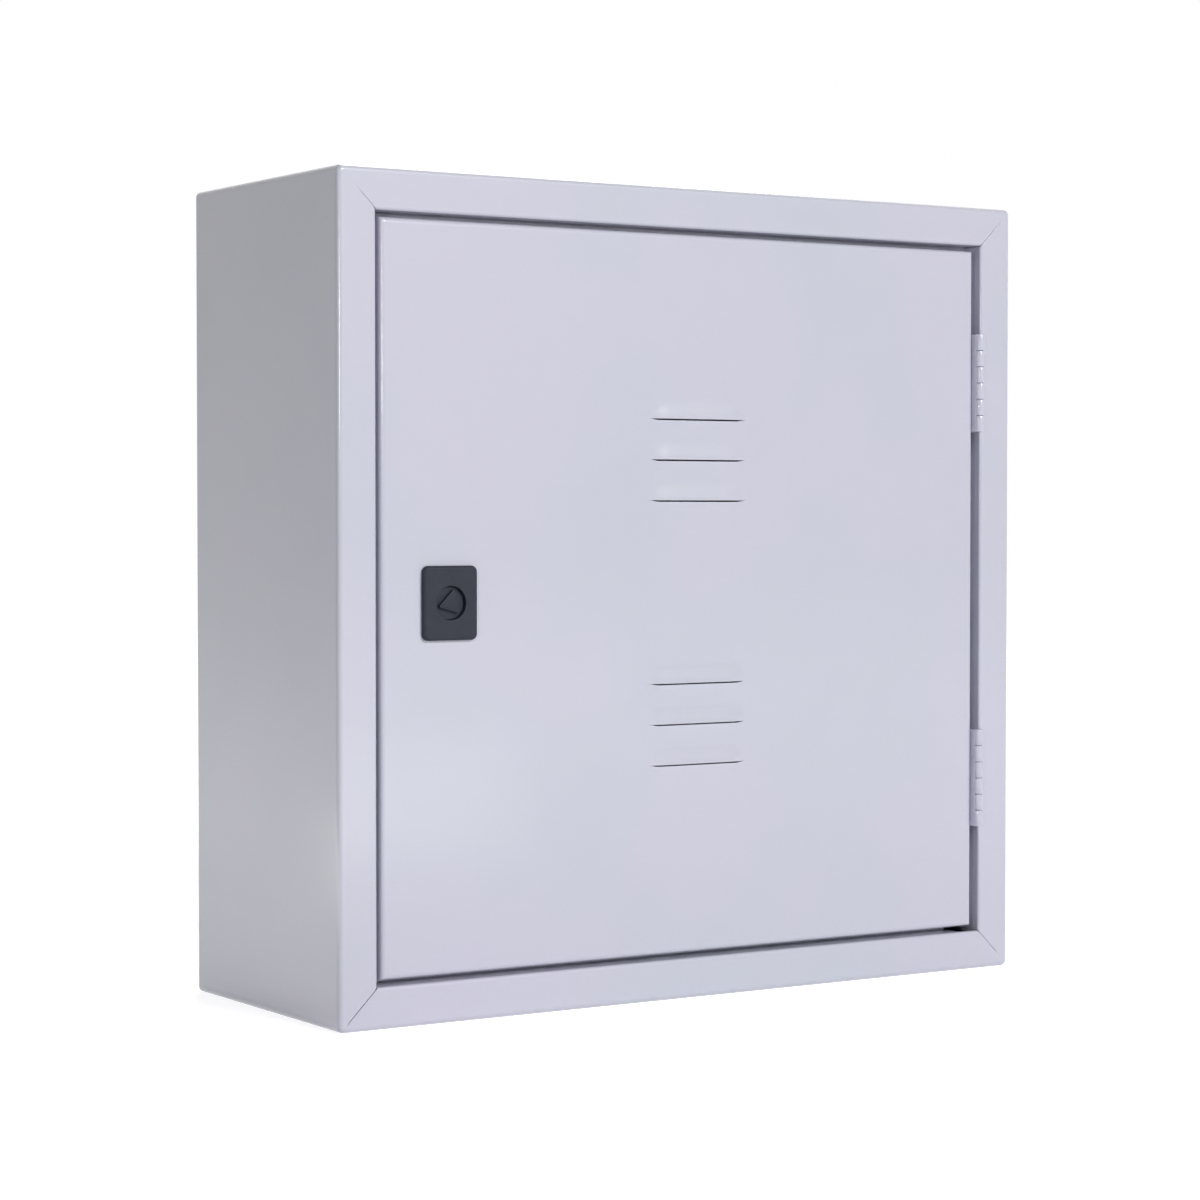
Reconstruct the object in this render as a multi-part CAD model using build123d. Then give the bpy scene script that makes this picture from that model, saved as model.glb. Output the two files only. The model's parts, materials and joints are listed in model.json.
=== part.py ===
from build123d import *
from math import sqrt
import os

# Telephone junction box: a wall cabinet of folded sheet steel with a flush louvred door.
# Millimetres. The origin is the centre of the rear face, which lies on the wall.
# +X is to the right seen from the front, +Y runs into the wall, +Z is up.
# "Out" below is the distance from the wall plane towards the front, along -Y.

# Cabinet
width = 400.0
height = 400.0
depth = 150.0
sheet = 1.2             # wall of every folded panel
fold_in = 0.8           # inside radius of a fold
front_fold = 1.5        # inside radius of the fold between a side and the front border
opening_fold = 0.4      # inside radius of the fold round the opening
flange = 20.0           # front border, from the outer wall to the door opening
rebate = 14.5           # front plane to the stop lip
stop_lip = 8.0          # width of the lip that the door and the lock cam meet
mitre_gap = 0.6
mitre_weld = 8.0        # from the outer walls, the part of a mitre that is welded and ground flush
corner_round = 3.0      # ground weld at the four long corners
corner_relief = 12.0    # notch in the lower return at the hinge end
back_fold = 15.0        # upstand round the back panel
relief = 4.0            # notch at the corners of the back panel

# Wall fixing and cable entries
wall_hole_inset = 50.0  # from the outer edges of the cabinet
wall_hole_radius = 3.5
knockout_radius = 17.0
knockout_slot = 0.8
knockout_tab = 4.0
knockout_span = 180.0
knockout_out = 72.0     # centre of a knockout, out from the wall

# Door
gap_free = 2.2          # at the lock side
gap_level = 3.0         # above and below
door_fold = 13.0        # depth of the folded edges

# Louvres
louvre_length = 58.0
louvre_height = 9.0
louvre_rise = 1.6
louvre_taper = 12.0
louvre_slit = 1.4       # open height below the middle of a hood
louvre_pitch = 20.0
louvre_rows = 3
louvre_top = 113.6      # middle of the upper group below the top of the opening
louvre_bottom = 116.4   # middle of the lower group above its bottom

# Hinges
hinge_length = 50.8
hinge_top = 71.9        # middle of the upper hinge below the top of the opening
hinge_bottom = 81.1     # middle of the lower hinge above its bottom
knuckles = 6
knuckle_gap = 0.3
barrel_radius = 2.5
pin_radius = 1.25
pin_clearance = 0.05    # running clearance in the door's knuckles
pin_seat = 0.01         # fixed end in the frame's knuckles
leaf = 1.2
leaf_reach = 12.5       # from the front plane back along the rebate
barrel_proud = 2.4      # hinge axis in front of the front plane

# Lock
lock_inset = 38.0       # axis of the lock from the left edge of the opening
lock_z = -2.0
plate_width = 29.0
plate_height = 35.0
plate_thickness = 3.0
plate_corner = 3.0
plate_edge = 1.0        # chamfer round the front of the plate
body_width = 20.0
body_height = 26.0
body_slack = 0.3        # round the lock body in the door's cut-out
wing_height = 12.0
wing_length = 6.0
wing_spread = 2.0
wing_gap = 0.1
recess_radius = 8.0
recess_depth = 2.2
head_slack = 0.2
head_thickness = 4.0
shaft_radius = 6.0
shaft_clearance = 0.05
key_radius = 7.1        # corners of the raised triangle
key_height = 1.9
key_angle = 75.0
key_round = 0.8
neck = 8.0              # square that drives the cam
neck_slack = 0.05
cam_clearance = 0.8     # behind the stop lip
cam_thickness = 2.5
cam_hub_radius = 9.5
cam_width = 14.0
cam_overlap = 3.0       # tongue past the edge of the opening when it locks
cam_tip_round = 4.0
cam_washer_radius = 7.0
cam_washer = 1.0
cam_screw_radius = 2.5
cam_screw_length = 12.0
cam_screw_flats = 8.0
cam_screw_rise = 3.0
thread_slack = 0.05     # round a screw in its hole

# Mounting board
board_slack = 10.0      # inside the door opening, so that the board can be taken out
board_thickness = 15.0
board_stand = 10.0
board_edge = 1.0
board_clip = 60.0       # corners cut off, clear of the wall screws
stud_inset = 20.0       # from the left and right edges of the board
stud_span_z = 150.0
stud_radius = 3.0
stud_slack = 0.5        # round a stud in the board, a spacer or a guide
stud_proud = 3.0
spacer_flats = 13.0
nut_flats = 10.0
nut_height = 5.0

# Back-mount frame and terminal blocks
blocks = 3
block_pitch = 22.5
block_length = 124.0
block_height = 20.6
block_depth = 37.0
block_neck = 14.0       # height of the rear part
block_neck_depth = 14.0
block_edge = 1.5        # chamfer along the front
block_grip = 4.0        # how far the frame's edge runs into a block
grip_slack = 0.15
rail_span = 96.0
rail_rise = 30.0
rail_spare = 4.0        # frame beyond the last block
rail_notch = 3.0
rail_notch_depth = 6.0
channel_width = 5.0
channel_depth = 8.0
ways = 20
way_pitch = 5.7
way_slot = 1.6
way_depth = 9.0
contact_thickness = 0.8
contact_depth = 6.0
contact_margin = 1.0
frame_screw_radius = 1.75
frame_screw_length = 12.0
frame_screw_flats = 7.0
frame_screw_rise = 2.4
frame_screw_span = 60.0

# Guide rings, bent from strip and held under the board nuts
ring_strip = 1.6
ring_width = 10.0
ring_heel = 9.0         # from the stud to the end of the foot
ring_near = 12.0        # from the stud to the open side of the loop
ring_far = 38.0         # from the stud to the closed side
ring_height = 26.0
ring_mouth = 10.0       # height of the open end above the board

# Earth stud
earth_out = 60.0
earth_rise = 60.0       # above the outside of the bottom
earth_length = 22.0
earth_clamp = 13.0      # square plate under the nut
earth_clamp_thickness = 1.6

fold_out = fold_in + sheet
opening_width = width - 2 * flange
opening_height = height - 2 * flange
stop_out = depth - rebate
axis_x = opening_width / 2 - barrel_radius
axis_out = depth + barrel_proud
door_left = -opening_width / 2 + gap_free
door_right = axis_x - barrel_radius
door_width = door_right - door_left
door_height = opening_height - 2 * gap_level
core_face = depth + plate_thickness - recess_depth
lock_x = lock_inset - opening_width / 2
cam_reach = lock_inset + cam_overlap
board_width = opening_width - 2 * board_slack
board_height = opening_height - 2 * board_slack
board_rear = sheet + board_stand
board_front = board_rear + board_thickness
rail_front = board_front + rail_rise
block_rear = rail_front - block_grip
block_front = block_rear + block_depth
cam_front = stop_out - sheet - cam_clearance
cam_rear = cam_front - cam_thickness
earth_z = earth_rise - height / 2


# A flat outline in X and Z, thickened from one distance out of the wall to another.
def prism(sketch, near, far):
    return extrude(Plane.XZ.offset(near) * sketch, far - near)


# A closed outline through points, in the plane it is laid on.
def outline(points):
    return make_face(Polyline(*points, close=True))


# A rod, tube or disc that points out of the wall.
def round_bar(x, z, radius, near, far, bore=0):
    section = Circle(radius)
    if bore:
        section -= Circle(bore)
    return prism(Pos(x, z) * section, near, far)


# The four corners of a rectangle about the middle.
def corners(span_x, span_z):
    return [(i * span_x / 2, k * span_z / 2) for i in (-1, 1) for k in (-1, 1)]


# Stock folded along a profile in the XY plane, lying on the profile's left.
def folded(points, radii, length, stock=sheet):
    profile = FilletPolyline(*points, radius=radii)
    section = profile.offset_2d(stock, side=Side.LEFT, closed=True)
    return Pos(0, 0, -length / 2) * extrude(make_face(section), length)


# Rectangular block with a bend's radius round its front, mitred at the corners.
def pan(size_x, size_z, near, far, radius):
    block = prism(Rectangle(size_x, size_z), near, far)
    return fillet(block.faces().sort_by(Axis.Y)[0].edges(), radius)


# One side of the cabinet: wall, front border, return and stop lip, mitred at both ends.
def side_panel(span, length):
    wall = -span / 2
    lip = wall + flange
    points = [(wall, 0), (wall, -depth), (lip, -depth), (lip, -stop_out), (lip + stop_lip, -stop_out)]
    panel = folded(points, [front_fold + sheet, opening_fold + sheet, fold_in], length)
    top = length / 2
    reach = flange + stop_lip
    mitred = outline([(wall, -top), (wall, top), (wall + reach, top - reach), (wall + reach, reach - top)])
    panel &= prism(mitred, 0, depth)
    panel &= prism(RectangleRounded(span, length, corner_round), 0, depth)
    slit = mitre_gap / sqrt(2)
    end = reach + 1
    seam = outline([
        (wall + mitre_weld, top - mitre_weld), (wall + end, top - end),
        (wall + end, top - end - slit), (wall + mitre_weld, top - mitre_weld - slit)])
    cut = prism(seam, stop_out - 2 * sheet, depth + 1)
    return panel - cut - mirror(cut, about=Plane.XY)


# Ring of slots that leaves a disc hanging on two tabs, cut through a level sheet.
def knockout_cut(x, level):
    ring = Circle(knockout_radius) - Circle(knockout_radius - knockout_slot)
    ring -= Rectangle(knockout_tab, 3 * knockout_radius)
    return Pos(x, -knockout_out, level - sheet) * extrude(ring, 2 * sheet)


def with_knockouts(panel, level):
    for side in (-1, 1):
        panel -= knockout_cut(side * knockout_span / 2, level)
    return panel


# Notch through the lower return and lip, beside the hinge end of the opening.
def relief_cut():
    right = opening_width / 2
    floor = -opening_height / 2
    notch = outline([
        (right - corner_relief, floor - 2 * sheet), (right, floor - 2 * sheet),
        (right, floor + 2 * stop_lip), (right - corner_relief, floor + 2 * stop_lip)])
    return prism(notch, stop_out - 2 * sheet, depth - 2 * sheet)


# Shallow tray welded between the sides, with the wall holes.
def back_panel():
    inner_width = width - 2 * sheet
    inner_height = height - 2 * sheet
    tray = prism(Rectangle(inner_width, inner_height), 0, back_fold)
    tray = fillet(tray.faces().sort_by(Axis.Y)[-1].edges(), fold_out)
    hollow = prism(Rectangle(inner_width - 2 * sheet, inner_height - 2 * sheet), sheet, back_fold + 1)
    hollow = fillet(hollow.faces().sort_by(Axis.Y)[-1].edges(), fold_in)
    tray -= hollow
    for x, z in corners(inner_width, inner_height):
        tray -= prism(Pos(x, z) * Rectangle(2 * relief, 2 * relief), -1, back_fold + 1)
    wall_places = corners(width - 2 * wall_hole_inset, height - 2 * wall_hole_inset)
    return tray - [round_bar(x, z, wall_hole_radius, -1, sheet + 1) for x, z in wall_places]


# Pressed hood with its lower edge cut free: a low arch in Z, tapered to the face at both ends.
def louvre_form(face_out, z):
    back = (louvre_height ** 2 - louvre_rise ** 2) / (2 * louvre_rise)
    arch = Pos(0, back - face_out, z) * Rot(0, 90, 0) * Cylinder(back + louvre_rise, louvre_length)
    half = louvre_length / 2
    level = half - louvre_taper
    top = -louvre_rise - face_out
    crest = outline([
        (-half, 0), (-half, -face_out), (-level, top), (level, top), (half, -face_out), (half, 0)])
    return arch & Pos(0, 0, z) * extrude(crest, 2 * louvre_height)


def door_panel():
    near = depth - door_fold
    shell = pan(door_width, door_height, near, depth, fold_out)
    hollow = pan(door_width - 2 * sheet, door_height - 2 * sheet, near - 1, depth - sheet, fold_in)
    door = Pos((door_left + door_right) / 2, 0, 0) * (shell - hollow)
    skin = prism(Rectangle(width, height), depth - sheet, depth + 2 * louvre_rise)
    half = louvre_length / 2
    level = half - louvre_taper
    slit = outline([(-half, 0), (-level, -louvre_slit), (level, -louvre_slit), (half, 0)])
    for middle in (opening_height / 2 - louvre_top, louvre_bottom - opening_height / 2):
        for row in range(louvre_rows):
            z = middle + (row - (louvre_rows - 1) / 2) * louvre_pitch
            door += louvre_form(depth, z) & skin
            door -= louvre_form(depth - sheet, z) & skin
            door -= prism(Pos(0, z) * slit, depth - 2 * sheet, depth + sheet)
    cut = Rectangle(body_width + 2 * body_slack, body_height + 2 * body_slack)
    return door - prism(Pos(lock_x, lock_z) * cut, depth - 2 * sheet, depth + sheet)


# One leaf of a hinge with every second knuckle: the first from the top is the frame's.
def hinge_leaf(z, on_door):
    side = -1 if on_door else 1
    bore = pin_radius + (pin_clearance if on_door else pin_seat)
    edge = axis_x + side * barrel_radius
    size = barrel_proud + leaf_reach
    plate = Box(leaf, size, hinge_length)
    hinge = Pos(edge - side * leaf / 2, size / 2 - axis_out, z) * plate
    hinge += Pos(axis_x, -axis_out, z) * Cylinder(barrel_radius, hinge_length)
    hinge -= Pos(axis_x, -axis_out, z) * Cylinder(bore, 2 * hinge_length)
    step = hinge_length / knuckles
    around = 2 * (barrel_radius + knuckle_gap)
    for count in range(0 if on_door else 1, knuckles, 2):
        middle = z + hinge_length / 2 - (count + 0.5) * step
        hinge -= Pos(axis_x, -axis_out, middle) * Box(around, around, step + knuckle_gap)
    return hinge


def hinge_pin(z):
    return Pos(axis_x, -axis_out, z) * Cylinder(pin_radius, hinge_length)


# Black rectangular plate with a body through the door and a sprung wing behind the sheet each side.
def lock_housing():
    plate = RectangleRounded(plate_width, plate_height, plate_corner)
    housing = prism(plate, depth, depth + plate_thickness)
    housing = chamfer(housing.faces().sort_by(Axis.Y)[0].edges(), plate_edge)
    housing += prism(Rectangle(body_width, body_height), cam_front + cam_clearance, depth)
    side = body_width / 2
    root = depth - sheet - wing_gap
    wing = outline([(side, -root), (side + wing_spread, -root), (side, wing_length - root)])
    wing = Pos(0, 0, -wing_height / 2) * extrude(wing, wing_height)
    housing += wing + mirror(wing, about=Plane.YZ)
    floor = core_face - head_thickness
    housing -= round_bar(0, 0, recess_radius, floor, depth + 2 * plate_thickness)
    housing -= round_bar(0, 0, shaft_radius + shaft_clearance, 0, depth)
    return Pos(lock_x, 0, lock_z) * housing


# Round core with a raised triangle in the recess and a square neck for the cam.
def lock_core():
    core = round_bar(0, 0, recess_radius - head_slack, core_face - head_thickness, core_face)
    core += round_bar(0, 0, shaft_radius, cam_front, core_face)
    key = RegularPolygon(key_radius, 3, rotation=key_angle)
    core += prism(fillet(key.vertices(), key_round), core_face, core_face + key_height)
    core += prism(Rectangle(neck, neck), cam_rear, cam_front)
    core -= round_bar(0, 0, cam_screw_radius + thread_slack, 0, cam_rear + cam_screw_length)
    return Pos(lock_x, 0, lock_z) * core


# The tongue points up at rest and swings a quarter turn behind the stop lip.
def lock_cam():
    tongue = Pos(0, cam_reach / 2) * Rectangle(cam_width, cam_reach)
    tongue = fillet(tongue.vertices().group_by(Axis.Y)[-1], cam_tip_round)
    cam = tongue + Circle(cam_hub_radius) - Rectangle(neck + 2 * neck_slack, neck + 2 * neck_slack)
    return Pos(lock_x, 0, lock_z) * prism(cam, cam_rear, cam_front)


# Hexagon head screw, its head above the origin and its shank below.
def hex_screw(shank, length, flats, rise):
    head = extrude(RegularPolygon(flats / 2, 6, major_radius=False), rise)
    return head + Cylinder(shank, length, align=(Align.CENTER, Align.CENTER, Align.MAX))


def lock_cam_screw():
    screw = hex_screw(cam_screw_radius, cam_screw_length - cam_washer, cam_screw_flats, cam_screw_rise)
    return Plane.XZ.offset(cam_rear - cam_washer) * Pos(lock_x, lock_z) * Rot(180, 0, 0) * screw


# Plywood board with clipped corners, and holes for the studs and the frame's screws.
def backboard():
    board = prism(Rectangle(board_width, board_height), board_rear, board_front)
    board = chamfer(board.edges().filter_by(Axis.Y), board_clip)
    board = chamfer(board.faces().sort_by(Axis.Y)[0].edges(), board_edge)
    board -= [round_bar(x, z, stud_radius + stud_slack, 0, depth) for x, z in stud_places]
    floor = board_front - frame_screw_length
    return board - [
        round_bar(x, z, frame_screw_radius + thread_slack, floor, depth) for x, z in frame_screw_places]


# Hexagon of a nut or spacer with its hole.
def hex_outline(flats, bore):
    return RegularPolygon(flats / 2, 6, major_radius=False) - Circle(bore)


# Channel of sheet, open to the front, whose edges the blocks clip onto.
def block_frame():
    half = rail_span / 2
    points = [(half, -rail_front), (half, -board_front), (-half, -board_front), (-half, -rail_front)]
    frame = folded(points, [fold_out, fold_out], blocks * block_pitch + 2 * rail_spare)
    for count in range(blocks + 1):
        z = (count - blocks / 2) * block_pitch
        notch = Box(2 * rail_span, 2 * rail_notch_depth, rail_notch)
        frame -= Pos(0, -rail_front, z) * notch
    return frame - [
        round_bar(x, z, frame_screw_radius + thread_slack, 0, rail_front) for x, z in frame_screw_places]


# Places of the wire slots along a block.
def way_places():
    return [(count - (ways - 1) / 2) * way_pitch for count in range(ways)]


# Stepped moulding with a test channel along its face and a wire slot across it for each way.
def terminal_block(z):
    half = block_height / 2
    step = block_rear + block_neck_depth
    upper = [
        (-block_rear, block_neck / 2), (-step, block_neck / 2), (-step, half),
        (block_edge - block_front, half), (-block_front, half - block_edge),
        (-block_front, channel_width / 2), (channel_depth - block_front, channel_width / 2)]
    lower = [(y, -level) for y, level in reversed(upper)]
    block = extrude(Plane.YZ * outline(upper + lower), block_length / 2, both=True)
    cut = Box(way_slot, 2 * way_depth, 2 * block_height)
    block -= [Pos(x, -block_front, 0) * cut for x in way_places()]
    groove = Box(sheet + 2 * grip_slack, 2 * block_grip, 2 * block_height)
    seat = rail_span / 2 - sheet / 2
    block -= [Pos(side * seat, -block_rear, 0) * groove for side in (-1, 1)]
    return Pos(0, 0, z) * block


# Blades on the floor of every wire slot, each from the upper row to the lower one.
def block_contacts():
    blade = Box(contact_thickness, contact_depth, block_height - 2 * contact_margin)
    seat = way_depth - contact_depth / 2 - block_front
    return group([Pos(x, seat, z) * blade for z in block_places for x in way_places()])


# Loop of bent strip, open beside the board, on a foot that the stud passes through.
def guide_ring(x, z):
    near = ring_near
    far = ring_far
    points = [
        (-ring_heel, 0), (far, 0), (far, ring_height), (near, ring_height), (near, ring_mouth)]
    points = [(across, -out) for across, out in points]
    ring = mirror(folded(points[::-1], fold_in + ring_strip, ring_width, ring_strip), about=Plane.XY)
    ring -= round_bar(0, 0, stud_radius + stud_slack, -ring_strip, 2 * ring_strip)
    if x > 0:
        ring = mirror(ring, about=Plane.YZ)
    return Pos(x, -board_front, z) * ring


# A section carried along X from the inner face of the left side, about the earth stud's axis.
def from_left_side(section, start, length):
    wall = sheet - width / 2
    return extrude(Plane.YZ.offset(wall + start) * Pos(-earth_out, earth_z) * section, length)


# Several separate solids kept together in one file.
def group(solids):
    return Compound(children=[item.solid() for item in solids])


stud_places = corners(board_width - 2 * stud_inset, stud_span_z)
frame_screw_places = [(side * frame_screw_span / 2, 0) for side in (-1, 1)]
block_places = [(count - (blocks - 1) / 2) * block_pitch for count in range(blocks)]
nut_seat = board_front + ring_strip
nut_outline = hex_outline(nut_flats, stud_radius + thread_slack)
spacer_outline = hex_outline(spacer_flats, stud_radius + stud_slack)
clamp_outline = Rectangle(earth_clamp, earth_clamp) - Circle(stud_radius + stud_slack)
frame_screw = hex_screw(
    frame_screw_radius, frame_screw_length - sheet, frame_screw_flats, frame_screw_rise)

parts = {
    "back_panel": back_panel(),
    "left_side": side_panel(width, height),
    "right_side": Rot(0, 180, 0) * side_panel(width, height),
    "top_side": with_knockouts(Rot(0, 90, 0) * side_panel(height, width), height / 2),
    "bottom_side": with_knockouts(
        Rot(0, -90, 0) * side_panel(height, width), sheet - height / 2) - relief_cut(),
    "door_panel": door_panel(),
    "lock_housing": lock_housing(),
    "lock_core": lock_core(),
    "lock_cam": lock_cam(),
    "lock_cam_washer": round_bar(
        lock_x, lock_z, cam_washer_radius, cam_rear - cam_washer, cam_rear, cam_screw_radius + thread_slack),
    "lock_cam_screw": lock_cam_screw(),
    "backboard": backboard(),
    "board_studs": group([
        round_bar(x, z, stud_radius, sheet, nut_seat + nut_height + stud_proud) for x, z in stud_places]),
    "board_spacers": group([
        prism(Pos(x, z) * spacer_outline, sheet, board_rear) for x, z in stud_places]),
    "board_nuts": group([
        prism(Pos(x, z) * nut_outline, nut_seat, nut_seat + nut_height) for x, z in stud_places]),
    "block_frame": block_frame(),
    "frame_screws": group([
        Plane.XZ.offset(board_front + sheet) * Pos(x, z) * frame_screw for x, z in frame_screw_places]),
    "block_contacts": block_contacts(),
    "earth_stud": from_left_side(Circle(stud_radius), 0, earth_length),
    "earth_clamp": from_left_side(clamp_outline, 0, earth_clamp_thickness),
    "earth_nut": from_left_side(nut_outline, earth_clamp_thickness, nut_height),
}
hinge_places = {"upper": opening_height / 2 - hinge_top, "lower": hinge_bottom - opening_height / 2}
for name, hinge_z in hinge_places.items():
    parts[f"{name}_hinge_frame_leaf"] = hinge_leaf(hinge_z, False)
    parts[f"{name}_hinge_door_leaf"] = hinge_leaf(hinge_z, True)
    parts[f"{name}_hinge_pin"] = hinge_pin(hinge_z)
for count, z in enumerate(block_places, 1):
    parts[f"terminal_block_{count}"] = terminal_block(z)
for count, (x, z) in enumerate(stud_places, 1):
    parts[f"guide_ring_{count}"] = guide_ring(x, z)

os.makedirs("parts", exist_ok=True)
for name, shape in parts.items():
    export_step(shape, f"parts/{name}.step")
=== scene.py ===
# Telephone junction box: finishes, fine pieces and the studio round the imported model.
# The scene is in metres: +X right seen from the front, +Y into the wall, +Z up, with the origin at
# the centre of the rear face. The dictionaries are in millimetres unless they say otherwise.
import bmesh
import bpy
import json
import numpy as np
from math import cos, pi, radians, sin
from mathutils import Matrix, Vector


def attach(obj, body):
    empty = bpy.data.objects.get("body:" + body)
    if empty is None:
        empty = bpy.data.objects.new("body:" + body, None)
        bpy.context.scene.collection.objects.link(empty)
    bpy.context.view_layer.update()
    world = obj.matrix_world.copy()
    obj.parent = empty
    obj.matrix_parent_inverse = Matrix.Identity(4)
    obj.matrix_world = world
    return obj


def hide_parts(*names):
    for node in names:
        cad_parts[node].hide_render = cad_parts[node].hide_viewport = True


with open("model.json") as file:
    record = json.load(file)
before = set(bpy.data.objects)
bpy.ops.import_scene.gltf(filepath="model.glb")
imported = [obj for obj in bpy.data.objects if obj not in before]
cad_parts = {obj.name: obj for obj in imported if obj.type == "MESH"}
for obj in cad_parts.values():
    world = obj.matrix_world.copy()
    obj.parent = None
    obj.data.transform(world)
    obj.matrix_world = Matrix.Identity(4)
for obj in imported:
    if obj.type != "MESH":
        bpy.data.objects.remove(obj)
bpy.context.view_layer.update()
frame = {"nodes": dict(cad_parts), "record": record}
nodes = frame["nodes"]
mm = 0.001

# material slot and moving body of each CAD node
nodeRows = {
    row["node"]: {"slot": row["material_slot"], "body": body}
    for row in frame["record"]["subparts"]
    for body, members in frame["record"]["behaviour"]["bodies"].items() if row["node"] in members}


# Camera at the photograph's angle, aimed at a point of the door's plane
view = {
    "azimuth": -32.775,  # degrees, from straight on towards the lock side
    "elevation": 1.633,
    "distance": 1.4844,  # metres
    "aim": (-0.0574, -0.15, -0.0019),  # metres
    "lens": 92.03,
    "near": 0.01,  # metres
}


def setCamera():
    azimuth, elevation = radians(view["azimuth"]), radians(view["elevation"])
    back = Vector((sin(azimuth) * cos(elevation), -cos(azimuth) * cos(elevation), sin(elevation)))
    lens = bpy.data.cameras.new("camera")
    lens.lens = view["lens"]
    lens.clip_start = view["near"]
    eye = bpy.data.objects.new("camera", lens)
    eye.location = Vector(view["aim"]) + view["distance"] * back
    eye.rotation_euler = (-back).to_track_quat("-Z", "Y").to_euler()
    bpy.context.scene.collection.objects.link(eye)
    bpy.context.scene.camera = eye


setCamera()
print("camera set")


# Materials
def linear(hexColour):
    # an sRGB hex value turned into the linear numbers that the shader wants
    parts = [int(hexColour[i:i + 2], 16) / 255 for i in (1, 3, 5)]
    return tuple(c / 12.92 if c <= 0.04045 else ((c + 0.055) / 1.055) ** 2.4 for c in parts) + (1.0,)


def addNode(tree, kind, inputs=None, stops=(), **settings):
    # One node with its settings. An input is a constant or the output socket that feeds it, and the
    # stops of a colour ramp are places with their hex colours.
    node = tree.nodes.new(kind)
    for key, value in settings.items():
        setattr(node, key, value)
    for key, value in (inputs or {}).items():
        if isinstance(value, bpy.types.NodeSocket):
            tree.links.new(value, node.inputs[key])
        else:
            node.inputs[key].default_value = value
    if stops:
        elements = node.color_ramp.elements
        while len(elements) < len(stops):
            elements.new(0.5)
        for element, (where, hexColour) in zip(elements, stops):
            element.position = where
            element.color = linear(hexColour)
    return node


def makeMaterial(name, build):
    # a material with the shader that build makes from its tree and the Object coordinates
    material = bpy.data.materials.new(name)
    material.use_nodes = True
    tree = material.node_tree
    tree.nodes.clear()
    shader = build(tree, addNode(tree, "ShaderNodeTexCoord").outputs["Object"])
    addNode(tree, "ShaderNodeOutputMaterial", {"Surface": shader.outputs[0]})
    return material


def finish(tree, look, tone, height, shine, inputs=None):
    # What the finishes share: height raises the look's relief in the normals, and shine, over its own
    # range, leads the roughness from the look's first value to its second.
    bump = addNode(tree, "ShaderNodeBump", {
        "Height": height, "Strength": look["strength"], "Distance": look["relief"] * mm})
    low, high = look.get("shine", (0, 1))
    gloss = addNode(tree, "ShaderNodeMapRange", {
        "Value": shine, "From Min": low, "From Max": high,
        "To Min": look["roughness"][0], "To Max": look["roughness"][1]})
    return addNode(tree, "ShaderNodeBsdfPrincipled", {
        "Base Color": tone, "Roughness": gloss.outputs[0], "Normal": bump.outputs[0], **(inputs or {})})


powder = {
    "base": "#cfcddd",
    "cool": "#cacdda",
    "patch": 90,  # size of the faint patches of shade in the coat
    "peel": 1.7,  # orange peel, drawn coarser than the real 0.5 so that it shows
    "speck": 0.9,  # fine texture between the waves, real about 0.2
    "speckShare": 0.5,  # of the speck in the relief, beside one of peel
    "relief": 0.06,  # height of the texture
    "strength": 0.25,  # share of it that the eye gets
    "roughness": (0.33, 0.43),
    "skin": 0.14,  # roughness of the smooth resin on top
}


def powderCoat(tree, place):
    # Polyester powder coat baked on steel: an even, faintly lavender grey with an orange-peel
    # surface that breaks up its soft gloss.
    patch = addNode(tree, "ShaderNodeTexNoise", {
        "Vector": place, "Scale": 1 / (powder["patch"] * mm), "Detail": 2.0, "Roughness": 0.5})
    tone = addNode(tree, "ShaderNodeValToRGB", {"Fac": patch.outputs["Fac"]}, stops=[
        (0.35, powder["cool"]), (0.65, powder["base"])])
    speck = addNode(tree, "ShaderNodeTexNoise", {
        "Vector": place, "Scale": 1 / (powder["speck"] * mm), "Detail": 2.0, "Roughness": 0.6})
    peel = addNode(tree, "ShaderNodeTexVoronoi", {
        "Vector": place, "Scale": 1 / (powder["peel"] * mm), "Smoothness": 1.0}, feature="SMOOTH_F1")
    height = addNode(tree, "ShaderNodeMath", {
        0: speck.outputs["Fac"], 1: powder["speckShare"], 2: peel.outputs["Distance"]},
        operation="MULTIPLY_ADD")
    return finish(tree, powder, tone.outputs["Color"], height.outputs[0], speck.outputs["Fac"], {
        "IOR": 1.5, "Coat Weight": 1.0, "Coat Roughness": powder["skin"]})


nylonLock = {
    "base": "#161a2b",
    "worn": "#1e2330",
    "flow": 9,  # size of the clouds that the melt leaves
    "grain": 0.7,  # spark-eroded texture of the mould, drawn coarser than the real 0.1
    "relief": 0.05,
    "strength": 0.35,
    "roughness": (0.42, 0.6),
    "specular": 0.33,  # the grain swallows some of the gloss
}


def blackNylon(tree, place):
    # Glass-filled nylon, moulded in a spark-eroded tool: near black, dull, with a fine grain.
    grain = addNode(tree, "ShaderNodeTexNoise", {
        "Vector": place, "Scale": 1 / (nylonLock["grain"] * mm), "Detail": 3.0, "Roughness": 0.6})
    flow = addNode(tree, "ShaderNodeTexNoise", {
        "Vector": place, "Scale": 1 / (nylonLock["flow"] * mm), "Detail": 2.0})
    tone = addNode(tree, "ShaderNodeValToRGB", {"Fac": flow.outputs["Fac"]}, stops=[
        (0.35, nylonLock["base"]), (0.7, nylonLock["worn"])])
    return finish(tree, nylonLock, tone.outputs["Color"], grain.outputs["Fac"], grain.outputs["Fac"], {
        "IOR": 1.53, "Specular IOR Level": nylonLock["specular"]})


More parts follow.
